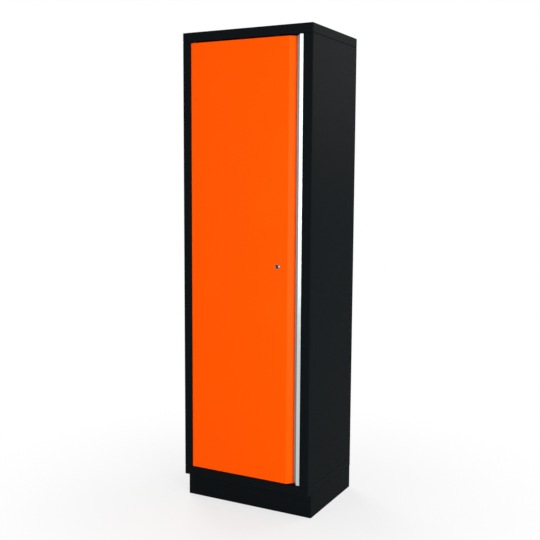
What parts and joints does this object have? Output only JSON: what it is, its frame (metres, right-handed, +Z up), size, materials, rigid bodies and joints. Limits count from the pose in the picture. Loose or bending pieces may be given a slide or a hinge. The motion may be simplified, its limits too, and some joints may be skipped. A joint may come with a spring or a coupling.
{
  "type": "tall storage cabinet",
  "caption": "Tall folded-steel storage cabinet on a recessed plinth, with a flush lockable door, a full-height aluminium pull and adjustable shelves inside.",
  "frame": {"origin": "on the floor, under the middle of the cabinet's width and depth", "axes": "+Z up, the door faces -Y, +X to the right as seen from the front"},
  "size_m": [0.6, 0.4548, 2],
  "materials": {
    "black_powder_coat": "satin black powder coat on steel sheet",
    "orange_powder_coat": "satin orange powder coat on steel sheet",
    "anodised_aluminium": "clear anodised extrusion, fine drawn lines",
    "chrome": "polished chrome plate on die-cast zinc",
    "zinc_plated_steel": "bright zinc plate",
    "blackened_steel": "black zinc plate",
    "dark_nickel": "dark nickel plate",
    "black_nylon": "moulded nylon",
    "black_rubber": "soft matt rubber",
    "ferrite_magnet": "plastic-bonded ferrite"
  },
  "bodies": {
    "carcass": {"plinth": "black_powder_coat", "plinth_screws": "zinc_plated_steel", "bottom_tray": "black_powder_coat", "base_screws": "zinc_plated_steel", "side_panel_left": "black_powder_coat", "side_panel_right": "black_powder_coat", "back_panel": "black_powder_coat", "back_screws": "blackened_steel", "top_cap": "black_powder_coat", "cap_screws": "zinc_plated_steel", "shelf_clips": "zinc_plated_steel", "hinge_pin_upper": "blackened_steel", "hinge_pin_lower": "blackened_steel", "rod_keepers": "black_nylon", "door_buffers": "black_rubber", "door_magnets": "ferrite_magnet", "upright_front_left": "black_powder_coat", "upright_back_left": "black_powder_coat", "upright_front_right": "black_powder_coat", "upright_back_right": "black_powder_coat", "shelf_1": "black_powder_coat", "shelf_2": "black_powder_coat", "shelf_3": "black_powder_coat", "shelf_4": "black_powder_coat"},
    "door": {"door_skin": "orange_powder_coat", "door_stiffener": "orange_powder_coat", "handle_profile": "anodised_aluminium", "handle_screws": "zinc_plated_steel", "hinge_bushes": "black_nylon", "hinge_brackets": "orange_powder_coat", "rod_guides": "orange_powder_coat", "lock_housing": "chrome", "lock_nut": "zinc_plated_steel"},
    "lock_core": {"lock_plug": "dark_nickel", "lock_cam": "zinc_plated_steel", "cam_screw": "zinc_plated_steel"},
    "upper_rod": {"upper_rod": "zinc_plated_steel"},
    "lower_rod": {"lower_rod": "zinc_plated_steel"}
  },
  "joints": [
    {"name": "door_swing", "type": "hinge", "parent": "carcass", "child": "door", "pos_m": [-0.245, -0.216, 1], "axis": [0, 0, -1], "range_deg": [0, 110]},
    {"name": "lock_turn", "type": "hinge", "parent": "door", "child": "lock_core", "pos_m": [0.151, -0.225, 1.044], "axis": [0, 1, 0], "range_deg": [0, 90]},
    {"name": "upper_rod_slide", "type": "slide", "parent": "door", "child": "upper_rod", "axis": [0, 0, 1], "range_m": [0, 0.02263]},
    {"name": "lower_rod_slide", "type": "slide", "parent": "door", "child": "lower_rod", "axis": [0, 0, -1], "range_m": [0, 0.02263]}
  ],
  "couplings": [
    {"joint": "lock_turn", "follows": "upper_rod_slide", "rad_per_m": 69.421},
    {"joint": "lower_rod_slide", "follows": "upper_rod_slide", "ratio": 1}
  ]
}
